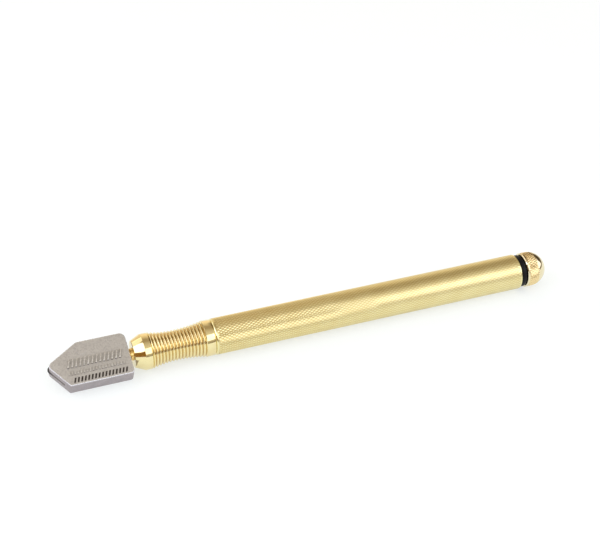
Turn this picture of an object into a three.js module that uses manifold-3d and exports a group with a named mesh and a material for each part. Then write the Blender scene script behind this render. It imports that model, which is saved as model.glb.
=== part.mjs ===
// Pencil-grip glass cutter with an oil reservoir in its handle, lying on a bench.
// Units are millimetres and +Z is up. The long axis is X, with the cutting head at -X and the
// end cap at +X. The bench is z = 0. The head presses back into the collar against a spring, and
// that lifts the ball of the oil valve. The end cap unscrews for filling.
//
// Places along the tool are stations: distances from the joint between collar and barrel.

import * as THREE from 'three';
import { mergeVertices } from 'three/addons/utils/BufferGeometryUtils.js';
import Module from 'manifold-3d';

const wasm = await Module();
wasm.setup();

// ---------------------------------------------------------------- driving dimensions

const ROUND_SEGMENTS = 32;
const SMALL_SEGMENTS = 20;
const FIT = 0.05;

const BARREL_RADIUS = 6.0;
const BARREL_LENGTH = 109.7;
const BARREL_CHAMFER = 0.35;
const RESERVOIR_RADIUS = 4.7;
const SOCKET_RADIUS = 5.0;
const SOCKET_DEPTH = 10.6;
const NECK_RADIUS = 4.15;
const NECK_START = 99;

const CAP_FRONT = 111.9;
const CAP_RADIUS = 5.88;
const CAP_CHAMFER = 0.4;
const DOME_CENTRE = 114.42;
const STUD_RADIUS = 4.0;
const STUD_TIP = 105.2;
const STUD_END = 109.3;
const STUD_UNDERCUT_RADIUS = 3.45;
const CAP_RING_SECTION = 0.95;
const CAP_RING_RADIUS = 4.55;

const COLLAR_NOSE = -26.4;
const COLLAR_NOSE_RADIUS = 4.4;
const COLLAR_BAND_START = -23.2;
const RIDGE_FIRST = -20.45;
const RIDGE_PITCH = 1.107;
const RIDGE_COUNT = 16;
const RIDGE_DEPTH = 0.28;
const WAIST_RADIUS = 5.0;
const COLLAR_SHOULDER = -3.0;
const SPIGOT_RADIUS = 4.85;
const SPIGOT_END = 10.0;
const SPIGOT_GROOVE = [4.2, 5.4, 4.2];
const NOSE_BORE_RADIUS = 2.12;
const CHAMBER_RADIUS = 3.4;
const CHAMBER_START = -22.4;

const HEAD_ROLL = THREE.MathUtils.degToRad(28);
const HEAD_THICKNESS = 5.6;
const NEAR_HALF_WIDTH = 7.45;
const FAR_HALF_WIDTH = 7.0;
const HEAD_REAR = -27.6;
const HEAD_APEX = [-53.962, 0.88];
const FAR_SHOULDER = -43.32;
const NEAR_SHOULDER = -48.185;
const HEAD_NOSE_RADIUS = 1.65;
const NEAR_REAR_CORNER_RADIUS = 1.1;
const FAR_REAR_CORNER_RADIUS = 2.0;
const HEAD_SHOULDER_RADIUS = 0.4;
const STEM_SOCKET_END = -36;
const OIL_CHANNEL_RADIUS = 0.95;

const WHEEL_RADIUS = 1.6;
const WHEEL_THICKNESS = 0.8;
const WHEEL_LAND = 0.16;
const WHEEL_BORE_RADIUS = 0.72;
const WHEEL_PROUD = 0.3;
const SLOT_WIDTH = 1.1;
const SLOT_LENGTH = 7.7;
const SLOT_DEPTH = 4.0;
const SLOT_INNER_RADIUS = 2.6;
const AXLE_RADIUS = 0.62;
const AXLE_TOP = 1.9;
const RETAINING_PIN_RADIUS = 0.8;
const RETAINING_PIN_STATION = -32.5;

const STEM_RADIUS = 1.98;
const STEM_BORE_RADIUS = 0.8;
const STEM_FRONT = -35.7;
const STEM_REAR = -3.0;
const STEM_STEP = [-27.9, -27.2, 1.7];
const CLIP_STATION = -19.1;
const CLIP_THICKNESS = 0.6;
const CLIP_GROOVE_RADIUS = 1.55;
const CLIP_OPENING = THREE.MathUtils.degToRad(80);
const PORT_STATION = -6.6;
const PORT_RADIUS = 0.4;
const PUSH_PIN_RADIUS = 0.6;
const PUSH_PIN_START = -4.5;
const PUSH_PIN_TIP = 0.0;
const STOP_PIN_STATION = -5.2;
const STOP_PIN_RADIUS = 0.5;

const HEAD_SWIVEL = THREE.MathUtils.degToRad(56);
const BUSH = [-8.4, -2.4];
const BUSH_RADIUS = 3.3;
const BUSH_SLOT_FRONT = -7.3;

const SEAT = [-1.2, 0.6];
const SEAT_HOLE_RADIUS = 1.3;
const BALL_RADIUS = 2.0;
const CAGE = [7.8, 9.6];

// ---------------------------------------------------------------- shape helpers

const root = new THREE.Group();
const tool = new THREE.Group();
root.add(tool);

function turned(outline, segments = ROUND_SEGMENTS) {
  const points = outline.map(([station, radius]) => new THREE.Vector2(radius, station));
  return new THREE.LatheGeometry(points, segments).rotateZ(-Math.PI / 2);
}

function ring(start, end, inner, outer, segments = ROUND_SEGMENTS) {
  const corners = [[start, inner], [start, outer], [end, outer], [end, inner], [start, inner]];
  return turned(corners, segments);
}

function rodAlongX(start, end, radius, segments = SMALL_SEGMENTS) {
  return turned([[start, 0], [start, radius], [end, radius], [end, 0]], segments);
}

function rodAlongZ(x, y, bottom, top, radius, segments = SMALL_SEGMENTS) {
  return new THREE.CylinderGeometry(radius, radius, top - bottom, segments)
    .rotateX(Math.PI / 2)
    .translate(x, y, (bottom + top) / 2);
}

function oRing(station, ringRadius, sectionRadius, segments = ROUND_SEGMENTS) {
  return new THREE.TorusGeometry(ringRadius, sectionRadius, 10, segments)
    .rotateY(Math.PI / 2)
    .translate(station, 0, 0);
}

function solidOf(geometry) {
  const bare = geometry.clone();
  bare.deleteAttribute('normal');
  bare.deleteAttribute('uv');
  const merged = mergeVertices(bare);
  return new wasm.Manifold(new wasm.Mesh({
    numProp: 3,
    vertProperties: merged.attributes.position.array,
    triVerts: new Uint32Array(merged.index.array),
  }));
}

function geometryOf(solid) {
  const mesh = solid.getMesh();
  const geometry = new THREE.BufferGeometry();
  geometry.setAttribute('position', new THREE.BufferAttribute(mesh.vertProperties, 3));
  geometry.setIndex(new THREE.BufferAttribute(mesh.triVerts, 1));
  return geometry;
}

function cut(geometry, ...cutters) {
  const solid = cutters.reduce((left, cutter) => left.subtract(solidOf(cutter)), solidOf(geometry));
  return geometryOf(solid);
}

class Helix extends THREE.Curve {
  constructor(start, end, radius, turns) {
    super();
    Object.assign(this, { start, end, radius, turns });
  }

  // Half a turn at each end lies flat, as on a closed-end spring.
  getPoint(t, target = new THREE.Vector3()) {
    const angle = t * this.turns * 2 * Math.PI;
    const flat = 0.5 / this.turns;
    const rise = THREE.MathUtils.clamp((t - flat) / (1 - 2 * flat), 0, 1);
    const x = THREE.MathUtils.lerp(this.start, this.end, rise);
    return target.set(x, this.radius * Math.cos(angle), this.radius * Math.sin(angle));
  }
}

function coilSpring(start, end, radius, wireRadius, turns) {
  const section = new THREE.Shape().absarc(0, 0, wireRadius, 0, 2 * Math.PI);
  return new THREE.ExtrudeGeometry(section, {
    curveSegments: 3,
    steps: turns * 12,
    bevelEnabled: false,
    extrudePath: new Helix(start + wireRadius, end - wireRadius, radius, turns),
  });
}

// A plane outline whose corners are [x, y, radius], listed anticlockwise.
function roundedOutline(corners) {
  const shape = new THREE.Shape();
  corners.forEach(([x, y, radius], i) => {
    const corner = new THREE.Vector2(x, y);
    const [before, after] = [corners.at(i - 1), corners[(i + 1) % corners.length]].map(
      ([neighbourX, neighbourY]) => new THREE.Vector2(neighbourX, neighbourY).sub(corner).normalize(),
    );
    const half = before.angleTo(after) / 2;
    const setback = radius / Math.tan(half);
    const from = corner.clone().addScaledVector(before, setback);
    const middle = before.clone().add(after).normalize();
    const centre = corner.clone().addScaledVector(middle, radius / Math.sin(half));
    const to = corner.clone().addScaledVector(after, setback);
    const startAngle = from.sub(centre).angle();
    const endAngle = to.sub(centre).angle();
    shape.absarc(centre.x, centre.y, radius, startAngle, endAngle, false);
  });
  return shape;
}

function plate(shape, bottom, top, curveSegments) {
  return new THREE.ExtrudeGeometry(shape, { depth: top - bottom, bevelEnabled: false, curveSegments })
    .translate(0, 0, bottom);
}

// ---------------------------------------------------------------- materials and naming

function metal(color, roughness) {
  return new THREE.MeshStandardMaterial({ color, roughness, metalness: 1 });
}

const KNURLED_BRASS = { color: 0xd9b264, roughness: 0.38 };
const POLISHED_BRASS = { color: 0xe6c67a, roughness: 0.16 };
const STEEL = { color: 0xc4c6c8, roughness: 0.25 };
const SPRING_STEEL = { color: 0xaeb0b3, roughness: 0.3 };
const CAST_ZINC = { color: 0xb4aca3, roughness: 0.6 };
const HARD_METAL = { color: 0x2b2a2c, roughness: 0.35 };

function add(group, name, geometry, material) {
  const mesh = new THREE.Mesh(geometry, material);
  mesh.name = name;
  group.add(mesh);
}

function addMetal(group, name, geometry, { color, roughness }) {
  add(group, name, geometry, metal(color, roughness));
}

function addRubber(name, geometry) {
  add(tool, name, geometry, new THREE.MeshStandardMaterial({ color: 0x141414, roughness: 0.55 }));
}

// ---------------------------------------------------------------- barrel and end cap

// One flat of the faceted barrel faces down, so that it lies on the bench without rolling.
function barrelGeometry() {
  const edge = BARREL_RADIUS - BARREL_CHAMFER;
  return turned([
    [0, SOCKET_RADIUS],
    [0, edge],
    [BARREL_CHAMFER, BARREL_RADIUS],
    [BARREL_LENGTH - BARREL_CHAMFER, BARREL_RADIUS],
    [BARREL_LENGTH, edge],
    [BARREL_LENGTH, NECK_RADIUS + BARREL_CHAMFER],
    [BARREL_LENGTH - BARREL_CHAMFER, NECK_RADIUS],
    [NECK_START, NECK_RADIUS],
    [NECK_START - BARREL_CHAMFER, RESERVOIR_RADIUS],
    [SOCKET_DEPTH, RESERVOIR_RADIUS],
    [SOCKET_DEPTH, SOCKET_RADIUS],
    [0, SOCKET_RADIUS],
  ]).rotateX(Math.PI / ROUND_SEGMENTS);
}

function endCapGeometry() {
  const domeSteps = 9;
  const domeStart = Math.asin(0.1);
  const dome = Array.from({ length: domeSteps + 1 }, (_, i) => {
    const angle = THREE.MathUtils.lerp(domeStart, Math.PI / 2, i / domeSteps);
    const radius = i === domeSteps ? 0 : CAP_RADIUS * Math.cos(angle);
    return [DOME_CENTRE + CAP_RADIUS * Math.sin(angle), radius];
  });
  return turned([
    [STUD_TIP, 0],
    [STUD_TIP, STUD_RADIUS - BARREL_CHAMFER],
    [STUD_TIP + BARREL_CHAMFER, STUD_RADIUS],
    [STUD_END, STUD_RADIUS],
    [STUD_END + BARREL_CHAMFER, STUD_UNDERCUT_RADIUS],
    [CAP_FRONT, STUD_UNDERCUT_RADIUS],
    [CAP_FRONT, CAP_RADIUS - CAP_CHAMFER],
    [CAP_FRONT + CAP_CHAMFER, CAP_RADIUS],
    ...dome,
  ]);
}

addMetal(tool, 'barrel', barrelGeometry(), KNURLED_BRASS);
addMetal(tool, 'end_cap', endCapGeometry(), KNURLED_BRASS);
const capRingStation = (BARREL_LENGTH + CAP_FRONT) / 2;
addRubber('cap_o_ring', oRing(capRingStation, CAP_RING_RADIUS, CAP_RING_SECTION));

// ---------------------------------------------------------------- collar

// Crest radius of the waisted grip: a cosine dip between the front band and the rear shoulder,
// whose floor lies behind the middle.
function waistRadius(station) {
  const waistStation = -12.8;
  const reach = station < waistStation ? waistStation - RIDGE_FIRST : COLLAR_SHOULDER - waistStation;
  const fromWaist = Math.min(Math.abs(station - waistStation) / reach, 1);
  return WAIST_RADIUS + (BARREL_RADIUS - 0.1 - WAIST_RADIUS) * fromWaist ** 2;
}

function collarGeometry() {
  const ridges = [];
  for (let i = 0; i < RIDGE_COUNT; i += 1) {
    const crest = RIDGE_FIRST + i * RIDGE_PITCH;
    const groove = crest + RIDGE_PITCH / 2;
    ridges.push([crest, waistRadius(crest)]);
    ridges.push([groove, waistRadius(groove) - RIDGE_DEPTH]);
  }
  const [grooveStart, grooveEnd, grooveRadius] = SPIGOT_GROOVE;
  const bandRadius = BARREL_RADIUS - 0.05;
  return turned([
    [COLLAR_NOSE, NOSE_BORE_RADIUS],
    [COLLAR_NOSE, COLLAR_NOSE_RADIUS],
    [COLLAR_BAND_START, bandRadius],
    [RIDGE_FIRST - RIDGE_PITCH / 2, bandRadius],
    ...ridges,
    [COLLAR_SHOULDER, bandRadius],
    [-FIT - BARREL_CHAMFER / 2, bandRadius],
    [-FIT, bandRadius - BARREL_CHAMFER / 2],
    [-FIT, SPIGOT_RADIUS],
    [grooveStart, SPIGOT_RADIUS],
    [grooveStart, grooveRadius],
    [grooveEnd, grooveRadius],
    [grooveEnd, SPIGOT_RADIUS],
    [SPIGOT_END, SPIGOT_RADIUS],
    [SPIGOT_END, CHAMBER_RADIUS],
    [CHAMBER_START, CHAMBER_RADIUS],
    [CHAMBER_START, NOSE_BORE_RADIUS],
    [COLLAR_NOSE, NOSE_BORE_RADIUS],
  ], 24);
}

addMetal(tool, 'grip_collar', collarGeometry(), POLISHED_BRASS);
const collarRingStation = (SPIGOT_GROOVE[0] + SPIGOT_GROOVE[1]) / 2;
addRubber('collar_o_ring', oRing(collarRingStation, 4.61, 0.33));
addRubber('stem_o_ring', oRing(-21.3, 2.68, 0.58, SMALL_SEGMENTS));
addMetal(tool, 'seal_retainer', ring(-20.1, -19.5, NOSE_BORE_RADIUS, BUSH_RADIUS, SMALL_SEGMENTS), STEEL);

// ---------------------------------------------------------------- stem and its pieces

function stemGeometry() {
  const [stepStart, stepEnd, stepRadius] = STEM_STEP;
  const clipGrooveStart = CLIP_STATION - FIT;
  const clipGrooveEnd = CLIP_STATION + CLIP_THICKNESS + FIT;
  const chamfer = 0.3;
  const pinHoleRadius = PUSH_PIN_RADIUS + FIT;
  const pinHoleStart = PUSH_PIN_START - FIT;
  const body = turned([
    [STEM_FRONT, STEM_BORE_RADIUS],
    [STEM_FRONT, STEM_RADIUS - chamfer],
    [STEM_FRONT + chamfer, STEM_RADIUS],
    [stepStart, STEM_RADIUS],
    [stepStart, stepRadius],
    [stepEnd, stepRadius],
    [stepEnd, STEM_RADIUS],
    [clipGrooveStart, STEM_RADIUS],
    [clipGrooveStart, CLIP_GROOVE_RADIUS],
    [clipGrooveEnd, CLIP_GROOVE_RADIUS],
    [clipGrooveEnd, STEM_RADIUS],
    [STEM_REAR - chamfer, STEM_RADIUS],
    [STEM_REAR, STEM_RADIUS - chamfer],
    [STEM_REAR, pinHoleRadius],
    [pinHoleStart, pinHoleRadius],
    [pinHoleStart, STEM_BORE_RADIUS],
    [STEM_FRONT, STEM_BORE_RADIUS],
  ], SMALL_SEGMENTS);
  const reach = STEM_RADIUS + 1;
  const port = rodAlongZ(PORT_STATION, 0, -reach, reach, PORT_RADIUS, 12);
  const stopPinHole = rodAlongZ(STOP_PIN_STATION, 0, 0.3, reach, STOP_PIN_RADIUS + FIT, 12);
  const retainingHole = rodAlongZ(RETAINING_PIN_STATION, 0, -reach, -1.2, RETAINING_PIN_RADIUS + FIT, 12)
    .rotateX(HEAD_ROLL);
  return cut(body, port, stopPinHole, retainingHole);
}

function clipGeometry() {
  const inner = CLIP_GROOVE_RADIUS + FIT;
  const outer = CHAMBER_RADIUS - 0.4;
  const from = CLIP_OPENING / 2;
  const to = 2 * Math.PI - CLIP_OPENING / 2;
  const shape = new THREE.Shape().absarc(0, 0, outer, from, to, false);
  shape.absarc(0, 0, inner, to, from, true);
  return plate(shape, 0, CLIP_THICKNESS, 20)
    .rotateY(Math.PI / 2)
    .translate(CLIP_STATION, 0, 0);
}

// A sleeve with one slot, open at the rear, that the stop pin swings and slides in.
function bushGeometry() {
  const sleeve = ring(BUSH[0], BUSH[1], NOSE_BORE_RADIUS, BUSH_RADIUS, ROUND_SEGMENTS);
  const margin = Math.asin(STOP_PIN_RADIUS / NOSE_BORE_RADIUS) + THREE.MathUtils.degToRad(2);
  // Angle PI of the sector becomes +Z, and smaller angles lie towards +Y.
  const from = Math.PI - HEAD_SWIVEL - margin;
  const reach = BUSH_RADIUS + 1;
  const sector = new THREE.Shape()
    .moveTo(0, 0)
    .lineTo(reach * Math.cos(from), reach * Math.sin(from))
    .absarc(0, 0, reach, from, Math.PI + margin, false);
  const slot = plate(sector, 0, BUSH[1] - BUSH_SLOT_FRONT + 1, 12)
    .rotateY(Math.PI / 2)
    .translate(BUSH_SLOT_FRONT, 0, 0);
  return cut(sleeve, slot);
}

addMetal(tool, 'head_stem', stemGeometry(), POLISHED_BRASS);
addMetal(tool, 'valve_push_pin', rodAlongX(PUSH_PIN_START, PUSH_PIN_TIP, PUSH_PIN_RADIUS), STEEL);
const stopPin = rodAlongZ(STOP_PIN_STATION, 0, 0.95, 3.15, STOP_PIN_RADIUS, 12);
addMetal(tool, 'swivel_stop_pin', stopPin, STEEL);
addMetal(tool, 'stem_circlip', clipGeometry(), SPRING_STEEL);
const washer = ring(-18.3, -17.8, NOSE_BORE_RADIUS, CHAMBER_RADIUS - 0.2, SMALL_SEGMENTS);
addMetal(tool, 'spring_washer', washer, STEEL);
addMetal(tool, 'return_spring', coilSpring(-17.7, BUSH[0] - FIT, 2.7, 0.28, 8), SPRING_STEEL);
addMetal(tool, 'guide_bush', bushGeometry(), POLISHED_BRASS);

// ---------------------------------------------------------------- oil valve

function seatGeometry() {
  const face = 0.15;
  return turned([
    [SEAT[0], SEAT_HOLE_RADIUS],
    [SEAT[0], BUSH_RADIUS],
    [SEAT[1], BUSH_RADIUS],
    [SEAT[1], SEAT_HOLE_RADIUS + face],
    [SEAT[1] - face, SEAT_HOLE_RADIUS],
    [SEAT[0], SEAT_HOLE_RADIUS],
  ], SMALL_SEGMENTS);
}

function cageGeometry() {
  const body = ring(CAGE[0], CAGE[1], 1.1, BUSH_RADIUS, SMALL_SEGMENTS);
  const driverSlot = new THREE.BoxGeometry(1.4, 2 * BUSH_RADIUS + 1, 0.9).translate(CAGE[1], 0, 0);
  return cut(body, driverSlot);
}

const ballStation = SEAT[1] + Math.sqrt(BALL_RADIUS ** 2 - SEAT_HOLE_RADIUS ** 2) + 0.1;
const ball = new THREE.SphereGeometry(BALL_RADIUS, 20, 14).rotateZ(Math.PI / 2).translate(ballStation, 0, 0);
addMetal(tool, 'valve_seat', seatGeometry(), POLISHED_BRASS);
addMetal(tool, 'valve_ball', ball, STEEL);
addMetal(tool, 'valve_spring', coilSpring(ballStation + 1.62, CAGE[0] - FIT, 1.5, 0.2, 5), SPRING_STEEL);
addMetal(tool, 'valve_cage', cageGeometry(), POLISHED_BRASS);

// ---------------------------------------------------------------- cutting head

// The head's own axes: X along the tool, Y across the plate, Z through its thickness. The wheel
// stands equally proud of both straight edges of the nose.
const head = new THREE.Group();
head.rotation.x = HEAD_ROLL;
tool.add(head);

const apex = new THREE.Vector2(...HEAD_APEX);
const alongNearEdge = new THREE.Vector2(NEAR_SHOULDER, -NEAR_HALF_WIDTH).sub(apex).normalize();
const alongFarEdge = new THREE.Vector2(FAR_SHOULDER, FAR_HALF_WIDTH).sub(apex).normalize();
const noseHalfAngle = alongNearEdge.angleTo(alongFarEdge) / 2;
const intoPlate = alongNearEdge.clone().add(alongFarEdge).normalize();
const wheelFromApex = (WHEEL_RADIUS - WHEEL_PROUD) / Math.sin(noseHalfAngle);
const wheelCentre = apex.clone().addScaledVector(intoPlate, wheelFromApex);
const wheelRear = wheelCentre.x + WHEEL_RADIUS;

function headGeometry() {
  const half = HEAD_THICKNESS / 2;
  const outline = roundedOutline([
    [apex.x, apex.y, HEAD_NOSE_RADIUS],
    [NEAR_SHOULDER, -NEAR_HALF_WIDTH, HEAD_SHOULDER_RADIUS],
    [HEAD_REAR, -NEAR_HALF_WIDTH, NEAR_REAR_CORNER_RADIUS],
    [HEAD_REAR, FAR_HALF_WIDTH, FAR_REAR_CORNER_RADIUS],
    [FAR_SHOULDER, FAR_HALF_WIDTH, HEAD_SHOULDER_RADIUS],
  ]);
  const stemSocket = rodAlongX(STEM_SOCKET_END, HEAD_REAR + 1, STEM_RADIUS + FIT, SMALL_SEGMENTS);
  const oilChannel = rodAlongX(wheelRear, STEM_SOCKET_END + 1, OIL_CHANNEL_RADIUS, 12);
  const axleHole = rodAlongZ(wheelCentre.x, wheelCentre.y, -half - 1, AXLE_TOP + 0.1, AXLE_RADIUS + FIT, 16);
  const pinHole = rodAlongZ(RETAINING_PIN_STATION, 0, -half - 1, 0, RETAINING_PIN_RADIUS + FIT, 12);
  return cut(plate(outline, -half, half, 6), wheelSlotGeometry(), stemSocket, oilChannel, axleHole, pinHole);
}

// A slot at mid-thickness, open along the near edge of the nose, with a round inner corner.
function wheelSlotGeometry() {
  const inward = new THREE.Vector2(-alongNearEdge.y, alongNearEdge.x);
  const at = (along, depth) => apex.clone()
    .addScaledVector(alongNearEdge, along)
    .addScaledVector(inward, depth);
  const start = at(-4, -4);
  const end = at(SLOT_LENGTH, -4);
  const innerEnd = at(SLOT_LENGTH, SLOT_DEPTH);
  const innerStart = at(-4, SLOT_DEPTH);
  const shape = roundedOutline([
    [start.x, start.y, 0.2],
    [end.x, end.y, 0.2],
    [innerEnd.x, innerEnd.y, SLOT_INNER_RADIUS],
    [innerStart.x, innerStart.y, 0.2],
  ]);
  return plate(shape, -SLOT_WIDTH / 2, SLOT_WIDTH / 2, 8);
}

// A thin disc whose rim is ground to a blunt edge, with its axis along Z.
function wheelGeometry() {
  const half = WHEEL_THICKNESS / 2;
  const shoulder = WHEEL_RADIUS - (half - WHEEL_LAND / 2) / Math.tan(THREE.MathUtils.degToRad(65));
  const outline = [
    [WHEEL_BORE_RADIUS, -half],
    [shoulder, -half],
    [WHEEL_RADIUS, -WHEEL_LAND / 2],
    [WHEEL_RADIUS, WHEEL_LAND / 2],
    [shoulder, half],
    [WHEEL_BORE_RADIUS, half],
    [WHEEL_BORE_RADIUS, -half],
  ];
  return new THREE.LatheGeometry(outline.map(([radius, height]) => new THREE.Vector2(radius, height)), 32)
    .rotateX(Math.PI / 2)
    .translate(wheelCentre.x, wheelCentre.y, 0);
}

addMetal(head, 'cutting_head', headGeometry(), CAST_ZINC);
addMetal(head, 'cutting_wheel', wheelGeometry(), HARD_METAL);
const axle = rodAlongZ(wheelCentre.x, wheelCentre.y, -HEAD_THICKNESS / 2 + 0.1, AXLE_TOP, AXLE_RADIUS, 16);
addMetal(head, 'wheel_axle', axle, STEEL);
const retainingPin = rodAlongZ(
  RETAINING_PIN_STATION, 0, -HEAD_THICKNESS / 2 + 0.1, -1.3, RETAINING_PIN_RADIUS, 12,
);
addMetal(head, 'stem_retaining_pin', retainingPin, STEEL);
const wick = rodAlongX(wheelRear + 0.8, STEM_FRONT - 0.3, OIL_CHANNEL_RADIUS - 0.15, 12);
add(head, 'oil_wick', wick, new THREE.MeshStandardMaterial({ color: 0xe8e2d2, roughness: 0.95 }));

// ---------------------------------------------------------------- placing on the bench

// The origin is below the middle of the tool's length and width, on the bench that barrel and head
// lie on. The head is the widest piece, and its near side is wider than its far side.
const wheelFront = wheelCentre.x - WHEEL_RADIUS;
const capTip = DOME_CENTRE + CAP_RADIUS;
const axisOffset = (NEAR_HALF_WIDTH - FAR_HALF_WIDTH) / 2 * Math.cos(HEAD_ROLL);
const axisHeight = BARREL_RADIUS * Math.cos(Math.PI / ROUND_SEGMENTS);
tool.position.set(-(wheelFront + capTip) / 2, axisOffset, axisHeight);

export default root;
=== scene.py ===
"""Looks of a pencil-grip, oil-fed glass cutter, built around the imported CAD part.

Shapes are made in millimetres in the tool's own axes: X is the station along the tool, counted
from the joint between collar and barrel, and the axis is at Y = Z = 0. They are then placed in
the row frame, in metres.
"""

from collections import namedtuple
from contextlib import contextmanager
from math import asin, copysign, cos, pi, radians, sin, sqrt, tan

import bmesh
import bpy
import numpy as np
from mathutils import Matrix, Vector


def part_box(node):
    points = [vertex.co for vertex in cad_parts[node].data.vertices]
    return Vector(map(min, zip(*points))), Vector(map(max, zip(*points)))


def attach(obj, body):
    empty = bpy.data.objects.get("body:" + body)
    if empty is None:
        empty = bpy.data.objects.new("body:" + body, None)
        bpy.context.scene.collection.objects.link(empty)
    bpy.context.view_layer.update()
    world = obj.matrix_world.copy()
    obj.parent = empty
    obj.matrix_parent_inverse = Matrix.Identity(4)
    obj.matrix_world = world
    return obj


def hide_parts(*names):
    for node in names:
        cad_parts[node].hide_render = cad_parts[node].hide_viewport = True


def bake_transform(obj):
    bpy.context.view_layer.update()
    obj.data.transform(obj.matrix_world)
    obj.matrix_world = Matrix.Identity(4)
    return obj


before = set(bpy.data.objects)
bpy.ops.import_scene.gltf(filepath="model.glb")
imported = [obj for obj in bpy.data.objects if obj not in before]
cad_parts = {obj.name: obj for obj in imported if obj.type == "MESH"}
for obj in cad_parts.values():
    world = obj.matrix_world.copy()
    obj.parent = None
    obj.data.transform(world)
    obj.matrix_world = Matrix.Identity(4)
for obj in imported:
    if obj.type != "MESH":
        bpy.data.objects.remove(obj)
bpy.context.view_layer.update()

# ---------------- places taken from the frame

MM = 0.001
barrel_low, barrel_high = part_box("barrel")
barrel_middle = (barrel_low + barrel_high) / 2
TOOL_ORIGIN = Vector((barrel_low.x, barrel_middle.y, barrel_middle.z))
TOOL = Matrix.Translation(TOOL_ORIGIN) @ Matrix.Scale(MM, 4)
HEAD_ROLL = radians(28)
HEAD = Matrix.Translation(TOOL_ORIGIN) @ Matrix.Rotation(HEAD_ROLL, 4, "X") @ Matrix.Scale(MM, 4)


def span(node):
    """First and last station of a CAD node, in millimetres."""
    low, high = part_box(node)
    return (low.x - TOOL_ORIGIN.x) / MM, (high.x - TOOL_ORIGIN.x) / MM


def radius_of(node):
    """Outer radius of a turned CAD node, in millimetres."""
    low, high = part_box(node)
    return (high.z - low.z) / 2 / MM


def centre_in(matrix, node):
    """Centre of a CAD node's box, in the axes of matrix."""
    low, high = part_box(node)
    return matrix.inverted() @ ((low + high) / 2)


# ---------------- sizes, in millimetres

OVERSHOOT = 1  # how far a cutter reaches past the surface that it opens

# Barrel
BARREL_RADIUS = radius_of("barrel")
BARREL_END = span("barrel")[1]
EDGE_CHAMFER = 0.35
# The barrel's rounded front edge: (station, depth below the barrel's radius).
FRONT_EDGE = ((0.0, 0.4), (0.12, 0.22), (0.28, 0.09), (0.47, 0.01))
REAR_EDGE_DROP = 0.02
KNURL_MARGIN = 0.15
RESERVOIR_RADIUS = 4.7
SOCKET_RADIUS = 5.0
SOCKET_DEPTH = 10.6
SOCKET_CHAMFER = 0.1
NECK_RADIUS = 4.15
NECK_START = 99.0

# Knurls, with the number of grooves each way round and of diamonds per millimetre, and the thread
BARREL_KNURL_STARTS = 38
BARREL_KNURL_PER_MM = 0.625
BARREL_KNURL_DEPTH = 0.1
CAP_KNURL_STARTS = 40
CAP_KNURL_PER_MM = 0.66
CAP_KNURL_DEPTH = 0.13
CAP_KNURL_RUN_OUT = 0.15

THREAD_PITCH = 1.0
THREAD_DEPTH = 0.45
THREAD_RUN_OUT = 0.3

# Grip collar, whose spigot fits the barrel's socket
COLLAR_START, SPIGOT_END = span("grip_collar")
COLLAR_BAND_RADIUS = BARREL_RADIUS - 0.05
COLLAR_NOSE_RADIUS = 4.4
COLLAR_BAND_START = -23.2
# The rounded rear edge of the collar's band: (station, depth below the band's radius).
COLLAR_REAR_EDGE = ((-0.3, 0.0), (-0.2, 0.04), (-0.15, 0.12))
RIDGE_FIRST = -20.45
RIDGE_PITCH = 1.107
RIDGE_COUNT = 16
RIDGE_DEPTH = 0.4
WAIST_RADIUS = 5.0
WAIST_STATION = -12.8
RIDGE_GAP = 0.02
END_RIDGE_DROP = 0.1
COLLAR_SHOULDER = -3.0
SHOULDER_CHAMFER = 0.12
NOSE_BORE_RADIUS = 2.12
CHAMBER_RADIUS = 3.4
CHAMBER_START = -22.4
SPIGOT_RADIUS = 4.85
SPIGOT_CHAMFER = 0.2
GROOVE_START, GROOVE_END, GROOVE_RADIUS = 4.2, 5.4, 4.2

# End cap, its threaded stud and its rubber ring
CAP_START = 111.9
CAP_RADIUS = radius_of("end_cap")
CAP_TIP = span("end_cap")[1]
DOME_CENTRE = CAP_TIP - CAP_RADIUS
CAP_FRONT_CHAMFER = 0.3
CAP_KNURL = (112.2, 116.3)
CAP_KNURL_GAP = 0.03
DOME_MARGIN = 0.1
DOME_STEPS = 28
STUD_TIP = span("end_cap")[0]
STUD_RADIUS = 4.0
STUD_END = 109.3
STUD_UNDERCUT_RADIUS = 3.45
RING_STEPS, RING_SQUARENESS = 28, 2.3
CAP_RING_SPREAD = 1.1

# Cutting head: a plate whose upper face looks along the HEAD axes' Z
HEAD_REAR = span("cutting_head")[1]
HEAD_THICKNESS = 5.6
NEAR_HALF_WIDTH = 7.45
FAR_HALF_WIDTH = 7.0
HEAD_APEX = (-53.962, 0.88)
FAR_SHOULDER = (-43.32, FAR_HALF_WIDTH)
NEAR_SHOULDER = (-48.185, -NEAR_HALF_WIDTH)
NOSE_RADIUS = 1.65
NEAR_SHOULDER_FILLET, FAR_SHOULDER_FILLET = 0.4, 0.5
NEAR_REAR_FILLET, FAR_REAR_FILLET = 1.1, 2.0
HEAD_EDGE = 0.25
SLOT_WIDTH = 1.1
SLOT_LENGTH = 7.7
SLOT_DEPTH = 4.0
SLOT_INNER_RADIUS = 2.6
SLOT_OVERSHOOT = 4
SOCKET_END = -36.0
SOCKET_CLEARANCE = 0.05
OIL_CHANNEL_RADIUS = 0.95
EJECTOR_CENTRE = (-42.3, 4.2)
EJECTOR_RADIUS, EJECTOR_DEPTH = 1.9, 0.06
EJECTOR_BOSS_RADIUS, EJECTOR_BOSS_EDGE = 1.72, 0.04
EJECTOR_BOSS_ROOT, EJECTOR_BOSS_DROP = 0.3, 0.01
RIM_FACING = (0.2, 0.97)  # upright part of the normals on the plate's rounded rims
HEAD_TOP = HEAD_THICKNESS / 2

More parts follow.
